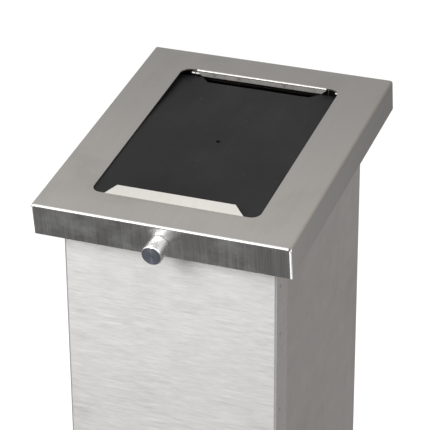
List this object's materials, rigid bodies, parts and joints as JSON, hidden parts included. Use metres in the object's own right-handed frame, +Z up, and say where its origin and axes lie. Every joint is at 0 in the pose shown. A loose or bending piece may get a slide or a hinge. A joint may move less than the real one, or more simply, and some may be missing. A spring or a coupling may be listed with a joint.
{
  "type": "dog waste bin",
  "caption": "Free-standing square-section steel waste bin with a sloping lift-up lid, a sprung push flap in its window, a turned knob and a lift-out liner.",
  "frame": {"origin": "middle of the four anchor holes in the base, on the ground", "axes": "+Z up, +X to the right as seen from the front, -Y towards the user: the knob and the low end of the lid are at -Y"},
  "size_m": [0.3, 0.3773, 0.8994],
  "materials": {
    "brushed_stainless": "brushed satin stainless sheet",
    "plain_stainless": "plain mill-finish stainless",
    "turned_stainless": "turned and polished",
    "galvanised_steel": "galvanised, spangled",
    "blackened_steel": "black zinc plating, satin",
    "spring_steel": "drawn wire",
    "black_flap": "matt black, lightly scuffed",
    "seal_rubber": "matt black rubber"
  },
  "bodies": {
    "column": {"base_plate": "galvanised_steel", "base_rivets": "plain_stainless", "liner_runners": "galvanised_steel", "locating_lugs": "galvanised_steel", "body_shell": "brushed_stainless", "front_panel": "brushed_stainless", "rim_frame": "brushed_stainless", "rim_seal": "seal_rubber", "liner": "galvanised_steel", "liner_floor": "galvanised_steel", "bag_ring": "plain_stainless", "hinge_body_leaf": "plain_stainless", "hinge_pin": "plain_stainless", "hinge_rivets": "plain_stainless"},
    "lid": {"lid_shell": "brushed_stainless", "hinge_lid_leaf": "plain_stainless", "knob": "turned_stainless", "knob_screw": "plain_stainless", "knob_washer": "plain_stainless", "flap_bracket_left": "blackened_steel", "flap_bracket_right": "blackened_steel", "flap_rod": "blackened_steel", "rod_clips": "spring_steel", "flap_spring_left": "spring_steel", "flap_spring_right": "spring_steel"},
    "flap": {"flap_plate": "black_flap", "flap_leaf": "blackened_steel", "flap_screws": "plain_stainless"}
  },
  "joints": [
    {"name": "lid_hinge", "type": "hinge", "parent": "column", "child": "lid", "pos_m": [0, 0.1505, 0.89002], "axis": [-1, 0, 0], "range_deg": [0, 102]},
    {"name": "flap_swing", "type": "hinge", "parent": "lid", "child": "flap", "pos_m": [0, 0.13631, 0.87734], "axis": [1, 0, 0], "range_deg": [0, 62], "stiffness_Nm_per_rad": 0.35, "springref_deg": -114.59, "deforming": ["flap_spring_left", "flap_spring_right"]}
  ]
}
